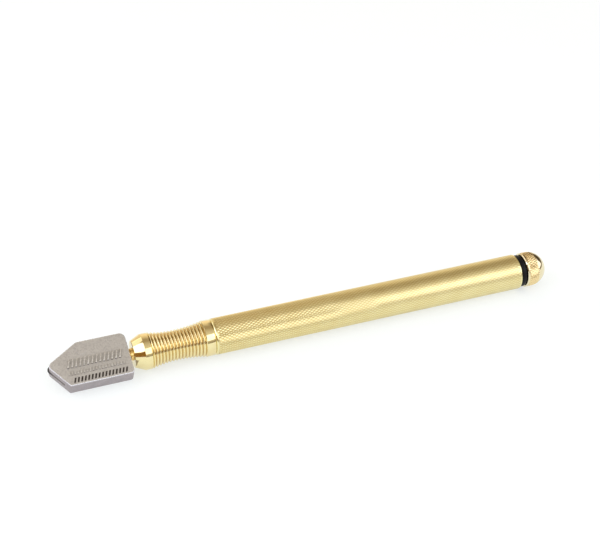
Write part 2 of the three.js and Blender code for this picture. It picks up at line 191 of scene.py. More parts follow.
# A row of equal bars on the head's upper face. Their near ends are moved slant towards the nose,
# and their far ends as much towards the rear.
BarRow = namedtuple("BarRow", "count first_x y pitch width height slant")
RIBS = BarRow(14, first_x=-47.2, y=-0.1, pitch=1.28, width=0.58, height=2.9, slant=0.5)
RIB_RISE, RIB_EDGE = 0.45, 0.09
DASHES = BarRow(19, first_x=-47.8, y=-3.35, pitch=0.98, width=0.44, height=1.25, slant=0.12)
DASH_RISE, DASH_EDGE = 0.3, 0.07
MARK_ROOT = 0.15
MARK_FILLET = 0.15
TICKS = BarRow(16, first_x=-46.4, y=-5.85, pitch=1.1, width=0.6, height=1.7, slant=0.3)
INK_LOW, INK_HIGH = 0.002, 0.02
TICK_FILLET = 0.08

# Cutting wheel, its axle and the pin that keeps the stem in the head
WHEEL_RADIUS = (span("cutting_wheel")[1] - span("cutting_wheel")[0]) / 2
WHEEL_HALF_WIDTH = 0.4
WHEEL_BORE_RADIUS = 0.72
WHEEL_BEVEL = 0.15
WHEEL_LAND = 0.05
AXLE_RADIUS, AXLE_TOP, AXLE_EDGE = 0.62, 1.9, 0.06
AXLE_HOLE_RADIUS, AXLE_HOLE_TOP = 0.67, 2.0
PIN_CENTRE = (-32.5, 0)
PIN_RADIUS, PIN_TOP, PIN_EDGE = 0.8, -1.3, 0.08
PIN_HOLE_RADIUS = 0.85
PIN_RECESS = 0.1

# Stem, with its clip, stop pin and push pin
STEM_RADIUS = radius_of("head_stem")
STEM_BORE_RADIUS = 0.8
STEM_END_FILLET = 0.25
STEM_NECK_START, STEM_NECK_END, STEM_NECK_RADIUS = -27.9, -27.2, 1.7
CLIP_GROOVE_RADIUS, CLIP_GROOVE_PLAY = 1.55, 0.05
CLIP_OUTER_RADIUS, CLIP_INNER_RADIUS, CLIP_OPENING = 3.0, 1.6, radians(40)
PUSH_PIN_BORE_RADIUS, PUSH_PIN_BORE_START = 0.65, -4.55
OIL_PORT_STATION, OIL_PORT_RADIUS = -6.6, 0.4
STOP_PIN_CENTRE = (-5.2, 0)
STOP_PIN_RADIUS, STOP_PIN_ROOT, STOP_PIN_TIP, STOP_PIN_EDGE = 0.5, 0.95, 3.15, 0.06
STOP_PIN_HOLE_RADIUS, STOP_PIN_HOLE_ROOT = 0.55, 0.3
SWIVEL_TRAVEL = radians(56)
BUSH_SLOT_START = -7.3

# Pieces in the collar's chamber, and the wick
CHAMBER_FIT_RADIUS, CHAMBER_FIT_EDGE = 3.3, 0.12
VALVE_SEAT_BORE, VALVE_SEAT_MOUTH, VALVE_SEAT_CHAMFER = 1.3, 1.45, 0.15
VALVE_CAGE_BORE = 1.1
DRIVER_SLOT_DEPTH, DRIVER_SLOT_HALF_WIDTH = 0.7, 0.45
RETURN_SPRING = {"ring_radius": 2.7, "wire_radius": 0.28, "turns": 8}
VALVE_SPRING = {"ring_radius": 1.5, "wire_radius": 0.2, "turns": 5}
WICK_RADIUS, WICK_LOBE, WICK_TWISTS, WICK_LAYERS = 0.68, 0.1, 1.5, 40

# ---------------- mesh helpers


@contextmanager
def editing(mesh):
    """Opens a mesh for bmesh operations, then writes the result back into it."""
    shape = bmesh.new()
    shape.from_mesh(mesh)
    yield shape
    shape.to_mesh(mesh)
    shape.free()


def mesh_object(name, vertices, faces):
    """A new object of these points and faces, with its normals pointing out."""
    mesh = bpy.data.meshes.new(name)
    mesh.from_pydata(vertices, [], faces)
    with editing(mesh) as shape:
        bmesh.ops.recalc_face_normals(shape, faces=shape.faces)
    piece = bpy.data.objects.new(name, mesh)
    bpy.context.scene.collection.objects.link(piece)
    return piece


def shade(piece, angle=30):
    """Smooth shading that breaks at edges sharper than angle degrees."""
    mesh = piece.data
    mesh.polygons.foreach_set("use_smooth", [True] * len(mesh.polygons))
    mesh.set_sharp_from_angle(angle=radians(angle))
    return piece


def filleted(corners, steps=4):
    """Points of an outline whose corners are (x, y, fillet radius)."""
    points = []
    count = len(corners)
    for i, (x, y, radius) in enumerate(corners):
        corner = Vector((x, y))
        before = (Vector(corners[i - 1][:2]) - corner).normalized()
        after = (Vector(corners[(i + 1) % count][:2]) - corner).normalized()
        half = before.angle(after) / 2
        if radius == 0 or half > radians(89.5):
            points.append(tuple(corner))
            continue
        centre = corner + (before + after).normalized() * radius / sin(half)
        start = corner + before * radius / tan(half) - centre
        end = corner + after * radius / tan(half) - centre
        turn = start.angle_signed(end)
        for step in range(steps + 1):
            spoke = start.copy()
            spoke.rotate(Matrix.Rotation(-turn * step / steps, 2))
            points.append(tuple(centre + spoke))
    return points


def revolve(name, outline, segments=96, relief=None, angle=30, closed=True):
    """A turned solid: outline is (station, radius) points, a loop or a line from axis to axis.

    relief(stations, angles) is how far the surface lies below the outline, in millimetres. The
    attribute groove is its share of its greatest depth, and cut marks the rows that it covers.
    """
    stations, radii = (np.array(column, float)[:, None] for column in zip(*outline))
    turn = 2 * pi * np.arange(segments)[None, :] / segments
    sunk = relief(stations, turn) if relief else np.zeros((len(outline), segments))
    r = radii - sunk
    grid = np.stack([stations + 0 * turn, r * np.cos(turn), r * np.sin(turn)], axis=-1)
    vertices = [tuple(p) for p in grid.reshape(-1, 3)]
    rows = len(outline)
    faces = []
    for i in range(rows if closed else rows - 1):
        near, far = i * segments, (i + 1) % rows * segments
        for j in range(segments):
            k = (j + 1) % segments
            a, b, c, d = near + j, near + k, far + k, far + j
            flat = relief is None or not sunk[i].any()
            if flat:
                faces.append((a, b, c, d))
            elif relief.joins_first_diagonal(i, j):
                faces += [(a, b, c), (a, c, d)]
            else:
                faces += [(a, b, d), (b, c, d)]
    piece = mesh_object(name, vertices, faces)
    cut_rows = np.any(sunk > 0, axis=1, keepdims=True) + 0 * sunk
    for attribute, values in (("groove", sunk / max(sunk.max(), 1e-9)), ("cut", cut_rows)):
        layer = piece.data.attributes.new(attribute, "FLOAT", "POINT")
        layer.data.foreach_set("value", values.ravel())
    if not closed:
        with editing(piece.data) as shape:
            bmesh.ops.remove_doubles(shape, verts=shape.verts, dist=1e-5)
            bmesh.ops.recalc_face_normals(shape, faces=shape.faces)
    return shade(piece, angle)


def layered_faces(layers, sides):
    """Faces of a closed bar whose points are layers of sides points each."""
    faces = []
    for i in range(layers - 1):
        for j in range(sides):
            k = (j + 1) % sides
            faces.append((i * sides + j, i * sides + k, (i + 1) * sides + k, (i + 1) * sides + j))
    faces.append(tuple(range(sides)))
    faces.append(tuple(range((layers - 1) * sides, layers * sides)))
    return faces


def tube_along(name, points, wire_radius, sides=12):
    """A round wire along a line of points, closed at both ends."""
    path = [Vector(p) for p in points]
    vertices = []
    for i, here in enumerate(path):
        along = (path[min(i + 1, len(path) - 1)] - path[max(i - 1, 0)]).normalized()
        outward = Vector((0, here.y, here.z)).normalized()
        sideways = along.cross(outward).normalized()
        outward = sideways.cross(along)
        for j in range(sides):
            t = 2 * pi * j / sides
            spoke = outward * cos(t) + sideways * sin(t)
            vertices.append(tuple(here + wire_radius * spoke))
    return shade(mesh_object(name, vertices, layered_faces(len(path), sides)), 50)


def prism(name, outline, bottom, top, edge=0.0, segments=3):
    """An outline of (x, y) points between two heights, with its rims rounded by edge."""
    count = len(outline)
    vertices = [(x, y, z) for z in (bottom, top) for x, y in outline]
    faces = [(i, (i + 1) % count, count + (i + 1) % count, count + i) for i in range(count)]
    faces += [tuple(range(count)), tuple(range(count, 2 * count))]
    piece = mesh_object(name, vertices, faces)
    if edge:
        with editing(piece.data) as shape:
            rims = [e for e in shape.edges if abs(e.verts[0].co.z - e.verts[1].co.z) < 1e-6]
            bmesh.ops.bevel(
                shape, geom=rims, offset=edge, segments=segments, profile=0.5, affect="EDGES"
            )
    return piece


def carve(piece, cutters, operation="DIFFERENCE"):
    """Cuts the cutters out of the piece, or joins them to it, and removes them."""
    for cutter in cutters:
        step = piece.modifiers.new("carve", "BOOLEAN")
        step.object = cutter
        step.operation = operation
        step.solver = "EXACT"
    evaluated = piece.evaluated_get(bpy.context.evaluated_depsgraph_get())
    mesh = bpy.data.meshes.new_from_object(evaluated)
    piece.modifiers.clear()
    piece.data = mesh
    for cutter in cutters:
        bpy.data.objects.remove(cutter)
    return piece


def rod_along_x(name, start, end, radius, segments=48):
    """A plain round rod on the axis between two stations."""
    outline = [(start, 0), (start, radius), (end, radius), (end, 0)]
    return revolve(name, outline, segments, closed=False)


def rod_along_z(name, centre, bottom, top, radius, segments=48, edge=0.0):
    """An upright round rod about a centre (x, y), with its rims rounded by edge."""
    ring = [(centre[0] + radius * cos(t), centre[1] + radius * sin(t))
            for t in np.linspace(0, 2 * pi, segments, endpoint=False)]
    return prism(name, ring, bottom, top, edge)


def place(piece, matrix, body, slot, material, *nodes):
    """Puts a finished piece in the row frame, on its body, in place of the CAD nodes."""
    piece.data.transform(matrix)
    if not piece.data.materials:
        piece.data.materials.append(material)
    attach(piece, body)
    if nodes:
        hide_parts(*nodes)
    return piece


# ---------------- surface reliefs


def spaced(first, last, count):
    """Stations that divide a stretch into count equal steps."""
    return [first + (last - first) * i / count for i in range(count + 1)]


class Relief:
    """How far a surface lies below its outline between the stations first and last."""

    def __init__(self, first, last, depth):
        self.first, self.last, self.depth = first, last, depth

    def inside(self, stations):
        """Distance from the nearer end, negative beyond it."""
        return np.minimum(stations - self.first, self.last - stations)

    def joins_first_diagonal(self, i, j):
        return True


class Knurl(Relief):
    """Diamond knurl: two crossing sets of helical grooves.

    Calling it notes the row that it starts on, which joins_first_diagonal then needs.
    """

    def __init__(self, first, last, starts, per_mm, depth, run_out=0.35):
        super().__init__(first, last, depth)
        self.starts, self.per_mm, self.run_out = starts, per_mm, run_out
        self.segments = 4 * starts

    def stations(self):
        """Rows a quarter of a diamond apart, which put a point on every crest and groove."""
        step = 1 / self.per_mm / 4
        return spaced(self.first, self.last, round((self.last - self.first) / step))

    def __call__(self, stations, turn):
        along = (stations - self.first) * self.per_mm
        around = turn * self.starts / (2 * pi)
        phases = (around + along, around - along)
        off_crest = [2 * abs(phase - np.round(phase)) for phase in phases]
        worn = np.maximum(*off_crest) ** 2
        inside = self.inside(stations)
        fade = np.clip(inside / self.run_out, 0, 1)
        self.first_row = int(np.argmax(inside[:, 0] >= 0))
        return self.depth * worn * fade

    def joins_first_diagonal(self, i, j):
        return (j - (i - self.first_row)) % 2 == 0


class Thread(Relief):
    """Right-handed screw thread, cut into a cylinder."""

    def stations(self, rows_per_turn=8):
        turns = (self.last - self.first) / THREAD_PITCH
        return spaced(self.first, self.last, round(turns * rows_per_turn))

    def __call__(self, stations, turn):
        phase = stations / THREAD_PITCH - turn / (2 * pi)
        off_crest = 2 * abs(phase - np.round(phase))
        fade = np.clip(self.inside(stations) / THREAD_RUN_OUT, 0, 1)
        flank = np.clip(1.25 * off_crest - 0.15, 0, 1)  # flat at the crest and at the root
        return self.depth * flank * fade


class GripRidges(Relief):
    """Rounded rings round the waist of the collar, with narrow grooves between them."""

    def stations(self, rows_per_ridge=12):
        return spaced(self.first, self.last, RIDGE_COUNT * rows_per_ridge)

    def __call__(self, stations, turn):
        phase = (stations - RIDGE_FIRST) / RIDGE_PITCH
        off_crest = 2 * abs(phase - np.round(phase))
        inside = self.inside(stations) >= 0
        return self.depth * (1 - np.cos(pi * off_crest)) / 2 * inside + 0 * turn


class Both:
    """Two reliefs on one surface, split along the diagonals of the first."""

    def __init__(self, first, second):
        self.parts = (first, second)

    def __call__(self, stations, turn):
        return sum(part(stations, turn) for part in self.parts)

    def joins_first_diagonal(self, i, j):
        return self.parts[0].joins_first_diagonal(i, j)


# ---------------- material helpers


def feed(tree, socket, value):
    """Links a node's output to a socket, or sets the socket to a plain value."""
    if isinstance(value, bpy.types.NodeSocket):
        tree.links.new(value, socket)
    else:
        socket.default_value = value


def add_node(tree, kind, inputs=None, **settings):
    """A new node with its settings, and with its inputs linked or set."""
    made = tree.nodes.new(kind)
    for key, value in settings.items():
        setattr(made, key, value)
    for key, value in (inputs or {}).items():
        feed(tree, made.inputs[key], value)
    return made


def mix_colors(tree, factor, first, second):
    """A color between two colors, each an output or three numbers."""
    made = add_node(tree, "ShaderNodeMix", data_type="RGBA")
    for index, value in ((0, factor), (6, first), (7, second)):
        feed(tree, made.inputs[index], (*value, 1) if isinstance(value, tuple) else value)
    return made.outputs[2]


class Surface:
    def __init__(self, name):
        self.material = bpy.data.materials.new(name)
        self.material.use_nodes = True
        self.tree = self.material.node_tree
        self.shader = self.tree.nodes["Principled BSDF"]
        self.place = self.node("ShaderNodeTexCoord").outputs["Object"]

    def node(self, kind, inputs=None, **settings):
        return add_node(self.tree, kind, inputs, **settings)

    def attribute(self, name):
        return self.node("ShaderNodeAttribute", attribute_name=name).outputs["Fac"]

    def noise(self, scale, detail=3.0, stretch=(1, 1, 1), roughness=0.5):
        """Noise with scale features per metre, stretched along the axes."""
        mapped = self.node("ShaderNodeMapping", {"Vector": self.place, "Scale": stretch})
        settings = {"Scale": scale, "Detail": detail, "Roughness": roughness}
        made = self.node("ShaderNodeTexNoise", {"Vector": mapped.outputs["Vector"], **settings})
        return made.outputs["Fac"]

    def ramp(self, value, *stops):
        """Maps a value through stops, which are (position, level from 0 to 1)."""
        made = self.node("ShaderNodeValToRGB", {"Fac": value})
        elements = made.color_ramp.elements
        while len(elements) < len(stops):
            elements.new(0.5)
        for element, (position, level) in zip(elements, stops):
            element.position = position
            element.color = (level, level, level, 1)
        return made.outputs["Color"]

    def mix(self, factor, first, second):
        return mix_colors(self.tree, factor, first, second)

    def maths(self, operation, first, second):
        return self.node("ShaderNodeMath", {0: first, 1: second}, operation=operation).outputs[0]

    def bump(self, height, strength, distance_mm):
        settings = {"Height": height, "Strength": strength, "Distance": distance_mm * MM}
        made = self.node("ShaderNodeBump", settings)
        feed(self.tree, self.shader.inputs["Normal"], made.outputs["Normal"])

    def finish(self, color, roughness, metallic=0.0, specular=0.5):
        feed(self.tree, self.shader.inputs["Base Color"], color)
        feed(self.tree, self.shader.inputs["Roughness"], roughness)
        self.shader.inputs["Metallic"].default_value = metallic
        self.shader.inputs["Specular IOR Level"].default_value = specular
        return self.material


def turned_metal(
    name, bright, dull, gloss, lines, grooves=None, groove_shade_from=0.0, cut_matte=0.0, cut_tint=None
):
    """Turned metal: cloudy tarnish, fine lathe lines round the axis, and painted shade in its
    grooves.

    gloss is the least and greatest roughness, and lines is the strength of the lathe lines. Where
    a relief deepens past the given share of its depth, the color turns to grooves, a painted shade
    in its hollows. The rows that a relief covers are rougher by cut_matte and have the color
    cut_tint.
    """
    surface = Surface(name)
    clouds = surface.ramp(surface.noise(260, 4), (0.35, 0.0), (0.68, 1.0))
    color = surface.mix(clouds, bright, dull)
    if cut_tint:
        color = surface.mix(surface.attribute("cut"), color, cut_tint)
    if grooves:
        # Painted shade: the color darkens towards the bottom of the relief's grooves.
        groove_shade = surface.ramp(surface.attribute("groove"), (groove_shade_from, 0.0), (1.0, 1.0))
        color = surface.mix(groove_shade, color, grooves)
    streaks = surface.noise(1600, 3, (6, 1, 1))
    roughness = surface.ramp(streaks, (0.3, gloss[0]), (0.7, gloss[1]))
    if cut_matte:
        matte = surface.maths("MULTIPLY", surface.attribute("cut"), cut_matte)
        roughness = surface.maths("ADD", roughness, matte)
    surface.bump(surface.noise(900, 2, (14, 0.6, 0.6)), lines, 0.01)
    return surface.finish(color, roughness, metallic=1.0)


def facing_out(surface):
    """Cosine of the angle to the head's upper face: 1 on that face, 0 on the plate's sides."""
    outward = (HEAD.to_3x3() @ Vector((0, 0, 1))).normalized()
    normal = surface.node("ShaderNodeTexCoord").outputs["Normal"]
    inputs = {0: normal, 1: outward}
    return surface.node("ShaderNodeVectorMath", inputs, operation="DOT_PRODUCT").outputs["Value"]


def cast_zinc():
    """Die-cast zinc: a fine open grain, cloudy grey patches, a few dark pores and painted shade on
    the plate's sides.
    """
    surface = Surface("cast_zinc")
    patches = surface.ramp(surface.noise(380, 4), (0.3, 0.0), (0.72, 1.0))
    color = surface.mix(patches, (0.55, 0.53, 0.485), (0.5, 0.475, 0.435))
    # Painted shade: the plate's sides are colored darker and more lilac than its upper face.
    sides = surface.ramp(facing_out(surface), (0.2, 1.0), (0.6, 0.0))
    painted_side_shade_color = surface.mix(patches, (0.44, 0.395, 0.41), (0.38, 0.345, 0.36))
    color = surface.mix(sides, color, painted_side_shade_color)
    grain = surface.noise(1900, 5, roughness=0.6)
    color = surface.mix(surface.ramp(grain, (0.34, 0.5), (0.54, 0.0)), color, (0.33, 0.3, 0.28))
    gloss = surface.ramp(grain, (0.35, 0.6), (0.65, 0.48))
    surface.bump(grain, 0.35, 0.05)
    return surface.finish(color, gloss, metallic=0.6)


def zinc_painted_by_facing(name, top, side, gloss):
    """Cast zinc with light and shade painted by facing: colored top where it faces out of the plate
    and side where it faces sideways.

    gloss is the least and greatest roughness.
    """
    surface = Surface(name)
    grain = surface.noise(2400, 4)
    # Painted light: lighter where the surface faces out of the plate, darker where it faces
    # sideways.
    color = surface.mix(surface.ramp(facing_out(surface), (0.35, 0.0), (0.9, 1.0)), side, top)
    color = surface.mix(surface.ramp(grain, (0.35, 0.35), (0.6, 0.0)), color, side)
    roughness = surface.ramp(grain, (0.35, gloss[1]), (0.65, gloss[0]))
    surface.bump(grain, 0.2, 0.03)
    return surface.finish(color, roughness, metallic=0.8)


def seal_rubber():
    """Moulded black rubber with a soft grey bloom."""
    surface = Surface("seal_rubber")
    bloom = surface.ramp(surface.noise(700, 4), (0.4, 0.0), (0.75, 1.0))
    color = surface.mix(bloom, (0.003, 0.0035, 0.005), (0.007, 0.008, 0.01))
    gloss = surface.ramp(surface.noise(2200, 3), (0.3, 0.34), (0.7, 0.48))
    surface.bump(surface.noise(5000, 2), 0.15, 0.02)
    return surface.finish(color, gloss, specular=0.18)


def cotton():
    """Twisted cotton strands."""
    surface = Surface("wick_cotton")
    strands = surface.noise(3000, 3, (0.5, 2, 2))
    color = surface.mix(strands, (0.82, 0.78, 0.66), (0.55, 0.48, 0.34))
    gloss = surface.ramp(strands, (0.3, 0.95), (0.7, 0.8))
    surface.bump(strands, 0.8, 0.1)
    return surface.finish(color, gloss)


def printing_ink():
    """Thin dark brown-black ink, worn through in small spots."""
    surface = Surface("printing_ink")
    worn = surface.ramp(surface.noise(2400, 5), (0.56, 0.0), (0.72, 1.0))
    color = surface.mix(worn, (0.022, 0.014, 0.01), (0.14, 0.12, 0.1))
    gloss = surface.ramp(surface.noise(1800, 2), (0.3, 0.5), (0.7, 0.7))
    surface.bump(surface.noise(2600, 4), 0.3, 0.03)
    return surface.finish(color, gloss)


# The grooves color is painted shade in the knurl's hollows.
KNURLED = turned_metal(
    "knurled_brass", bright=(0.87, 0.8, 0.45), dull=(0.83, 0.74, 0.39),
    gloss=(0.1, 0.18), lines=0.1, grooves=(0.62, 0.44, 0.15), groove_shade_from=0.35, cut_matte=0.18,
)
# The grooves color is painted shade in the narrow grooves between the ridges.
COLLAR_BRASS = turned_metal(
    "collar_brass", bright=(0.87, 0.76, 0.42), dull=(0.84, 0.7, 0.37),
    gloss=(0.07, 0.13), lines=0.1, grooves=(0.5, 0.3, 0.1), groove_shade_from=0.7,
)
# The stem's deeper orange is a painted reflection of the brass around it.
STEM_BRASS = turned_metal(
    "stem_brass", bright=(0.86, 0.62, 0.25), dull=(0.8, 0.55, 0.2),
    gloss=(0.14, 0.24), lines=0.1,
)
# The grooves color is painted shade in the hollows of the knurl and the thread.
CAP_BRASS = turned_metal(
    "cap_brass", bright=(0.85, 0.77, 0.54), dull=(0.81, 0.71, 0.47),
    gloss=(0.07, 0.12), lines=0.06, grooves=(0.55, 0.33, 0.1),
    cut_matte=0.14, cut_tint=(0.9, 0.73, 0.4),
)
INNER_BRASS = turned_metal(
    "inner_brass", bright=(0.84, 0.63, 0.28), dull=(0.76, 0.55, 0.22),
    gloss=(0.2, 0.34), lines=0.3,
)
STEEL = turned_metal(
    "ground_steel", bright=(0.62, 0.63, 0.64), dull=(0.5, 0.51, 0.52),
    gloss=(0.16, 0.3), lines=0.2,
)
SPRING_STEEL = turned_metal(
    "spring_steel", bright=(0.5, 0.5, 0.52), dull=(0.36, 0.36, 0.38),
    gloss=(0.25, 0.4), lines=0.1,
)
HARD_METAL = turned_metal(
    "hard_metal", bright=(0.1, 0.095, 0.095), dull=(0.055, 0.052, 0.055),
    gloss=(0.22, 0.4), lines=0.3,
)
ZINC = cast_zinc()
# Pale bluish zinc for the plate's rounded rims: a painted highlight along its edges.
RIM_HIGHLIGHT_ZINC = zinc_painted_by_facing(
    "zinc_painted_by_facing", top=(0.78, 0.79, 0.83), side=(0.58, 0.57, 0.6), gloss=(0.2, 0.32)
)
# Zinc of the raised marks: sides painted near black as shade, tops lighter, partly burnished wear
# and partly painted highlight.
RAISED_ZINC = zinc_painted_by_facing(
    "raised_zinc", top=(0.72, 0.7, 0.66), side=(0.11, 0.098, 0.085), gloss=(0.34, 0.5)
)
RUBBER = seal_rubber()
COTTON = cotton()
INK = printing_ink()

# ---------------- barrel and end cap


def make_barrel():
    start, end = EDGE_CHAMFER + KNURL_MARGIN, BARREL_END - EDGE_CHAMFER - KNURL_MARGIN
    knurl = Knurl(start, end, BARREL_KNURL_STARTS, BARREL_KNURL_PER_MM, BARREL_KNURL_DEPTH)
    outline = [
        (0.0, SOCKET_RADIUS + SOCKET_CHAMFER),
        *[(station, BARREL_RADIUS - depth) for station, depth in FRONT_EDGE],
        *[(station, BARREL_RADIUS) for station in knurl.stations()],
        (BARREL_END - EDGE_CHAMFER, BARREL_RADIUS - REAR_EDGE_DROP),
        (BARREL_END, BARREL_RADIUS - EDGE_CHAMFER),
        (BARREL_END, NECK_RADIUS + EDGE_CHAMFER),
        (BARREL_END - EDGE_CHAMFER, NECK_RADIUS),
        (NECK_START, NECK_RADIUS),
        (NECK_START - EDGE_CHAMFER, RESERVOIR_RADIUS),
        (SOCKET_DEPTH, RESERVOIR_RADIUS),
        (SOCKET_DEPTH, SOCKET_RADIUS),
        (SOCKET_CHAMFER, SOCKET_RADIUS),
    ]
    barrel = revolve("barrel_knurled", outline, knurl.segments, knurl)
    place(barrel, TOOL, "handle", "knurled_brass", KNURLED, "barrel")


def dome_radius(station):
    """The cap's outer radius: a cylinder that runs into a ball end."""
    past_centre = max(station - DOME_CENTRE, 0.0)
    return sqrt(max(CAP_RADIUS**2 - past_centre**2, 0.0))


def make_end_cap():
    knurl = Knurl(
        *CAP_KNURL, CAP_KNURL_STARTS, CAP_KNURL_PER_MM, CAP_KNURL_DEPTH, CAP_KNURL_RUN_OUT
    )
    thread = Thread(STUD_TIP + THREAD_RUN_OUT, STUD_END, THREAD_DEPTH)
    dome_start = asin((CAP_KNURL[1] + DOME_MARGIN - DOME_CENTRE) / CAP_RADIUS)
    sweep = np.linspace(dome_start, pi / 2, DOME_STEPS)[:-1]
    outline = [
        (STUD_TIP, 0.0),
        (STUD_TIP, STUD_RADIUS - THREAD_DEPTH),
        *[(station, STUD_RADIUS) for station in thread.stations()],
        (STUD_END + THREAD_RUN_OUT, STUD_UNDERCUT_RADIUS),
        (CAP_START, STUD_UNDERCUT_RADIUS),
        (CAP_START, CAP_RADIUS - CAP_FRONT_CHAMFER),
        (CAP_KNURL[0] - CAP_KNURL_GAP, CAP_RADIUS),
        *[(station, dome_radius(station)) for station in knurl.stations()],
        *[(DOME_CENTRE + CAP_RADIUS * sin(t), CAP_RADIUS * cos(t)) for t in sweep],
        (CAP_TIP, 0.0),
    ]
    cap = revolve("end_cap_turned", outline, knurl.segments, Both(knurl, thread), closed=False)
    place(cap, TOOL, "cap", "cap_brass", CAP_BRASS, "end_cap")


def ring_section(station, ring_radius, half_width, half_height):
    """Points of an O-ring's section, a circle pressed slightly square."""
    roundness = 2 / RING_SQUARENESS
    points = []
    for t in np.linspace(0, 2 * pi, RING_STEPS, endpoint=False):
        c, s = cos(t), sin(t)
        points.append((
            station - half_width * copysign(abs(c) ** roundness, c),
            ring_radius + half_height * copysign(abs(s) ** roundness, s),
        ))
    return points


def make_o_ring(node, body, pressed=1.0):
    """A rubber ring in place of a CAD one, wider than it by the factor pressed."""
    start, end = span(node)
    half = (end - start) / 2
    section = ring_section((start + end) / 2, radius_of(node) - half, half * pressed, half)
    place(revolve(node + "_moulded", section), TOOL, body, "seal_rubber", RUBBER, node)


# ---------------- grip collar


def waist_radius(station):
    """Crest radius of the waisted grip, least at WAIST_STATION."""
    front_reach, rear_reach = WAIST_STATION - RIDGE_FIRST, COLLAR_SHOULDER - WAIST_STATION
    reach = front_reach if station < WAIST_STATION else rear_reach
    from_waist = min(abs(station - WAIST_STATION) / reach, 1.0)
    return WAIST_RADIUS + (BARREL_RADIUS - END_RIDGE_DROP - WAIST_RADIUS) * from_waist**2


def make_collar():
    band = COLLAR_BAND_RADIUS
    waist_end = RIDGE_FIRST + (RIDGE_COUNT - 0.5) * RIDGE_PITCH
    ridges = GripRidges(RIDGE_FIRST - RIDGE_PITCH / 2, waist_end, RIDGE_DEPTH)
    band_end = ridges.first - RIDGE_GAP
    front = filleted([
        (CHAMBER_START, NOSE_BORE_RADIUS, 0),
        (COLLAR_START, NOSE_BORE_RADIUS, 0.15),
        (COLLAR_START, COLLAR_NOSE_RADIUS, 0.08),
        (COLLAR_BAND_START, band, 0.12),
        (band_end, band, 0.08),
        (band_end, band - RIDGE_DEPTH, 0),
    ])[1:-1]
    rear = [
        (COLLAR_SHOULDER, band - SHOULDER_CHAMFER),
        (COLLAR_SHOULDER + SHOULDER_CHAMFER, band),
        *[(station, band - depth) for station, depth in COLLAR_REAR_EDGE],
        (COLLAR_REAR_EDGE[-1][0], SPIGOT_RADIUS),
        (GROOVE_START, SPIGOT_RADIUS),
        (GROOVE_START, GROOVE_RADIUS),
        (GROOVE_END, GROOVE_RADIUS),
        (GROOVE_END, SPIGOT_RADIUS),
        (SPIGOT_END - SPIGOT_CHAMFER, SPIGOT_RADIUS),
        (SPIGOT_END, SPIGOT_RADIUS - SPIGOT_CHAMFER),
        (SPIGOT_END, CHAMBER_RADIUS),
        (CHAMBER_START, CHAMBER_RADIUS),
        (CHAMBER_START, NOSE_BORE_RADIUS),
    ]
    waist = [(station, waist_radius(station)) for station in ridges.stations()]
    collar = revolve("grip_collar_turned", [*front, *waist, *rear], 128, ridges, angle=38)
    place(collar, TOOL, "handle", "polished_brass", COLLAR_BRASS, "grip_collar")


# ---------------- cutting head

apex = Vector(HEAD_APEX)
along_near_edge = (Vector(NEAR_SHOULDER) - apex).normalized()
inward = Vector((-along_near_edge.y, along_near_edge.x))
wheel_centre = centre_in(HEAD, "cutting_wheel")


def head_outline():
    return filleted([
        (*HEAD_APEX, NOSE_RADIUS),
        (*NEAR_SHOULDER, NEAR_SHOULDER_FILLET),
        (HEAD_REAR, -NEAR_HALF_WIDTH, NEAR_REAR_FILLET),
        (HEAD_REAR, FAR_HALF_WIDTH, FAR_REAR_FILLET),
        (*FAR_SHOULDER, FAR_SHOULDER_FILLET),
    ], steps=8)


def slot_cutter():
    """Cuts the wheel's slot, which is open along the near edge of the nose."""
    def at(along, depth):
        return tuple(apex + along_near_edge * along + inward * depth)
    corners = [
        (*at(-SLOT_OVERSHOOT, -SLOT_OVERSHOOT), 0),
        (*at(SLOT_LENGTH, -SLOT_OVERSHOOT), 0),
        (*at(SLOT_LENGTH, SLOT_DEPTH), SLOT_INNER_RADIUS),
        (*at(-SLOT_OVERSHOOT, SLOT_DEPTH), 0),
    ]
    return prism("slot_cutter", filleted(corners, 12), -SLOT_WIDTH / 2, SLOT_WIDTH / 2)


def head_cutters():
    """Cuts the slot, the stem's socket, the oil channel, both pin holes and the ejector's mark."""
    below = -HEAD_TOP - OVERSHOOT
    channel_start, channel_end = wheel_centre.x + WHEEL_RADIUS, SOCKET_END + OVERSHOOT
    socket_radius = STEM_RADIUS + SOCKET_CLEARANCE
    ejector_floor, ejector_top = HEAD_TOP - EJECTOR_DEPTH, HEAD_TOP + OVERSHOOT
    return [
        slot_cutter(),
        rod_along_x("socket_cutter", SOCKET_END, HEAD_REAR + OVERSHOOT, socket_radius, 64),
        rod_along_x("channel_cutter", channel_start, channel_end, OIL_CHANNEL_RADIUS, 32),
        rod_along_z("axle_cutter", wheel_centre, below, AXLE_HOLE_TOP, AXLE_HOLE_RADIUS, 32),
        rod_along_z("pin_cutter", PIN_CENTRE, below, 0, PIN_HOLE_RADIUS, 32),
        rod_along_z(
            "ejector_cutter", EJECTOR_CENTRE, ejector_floor, ejector_top, EJECTOR_RADIUS, 64
        ),
    ]


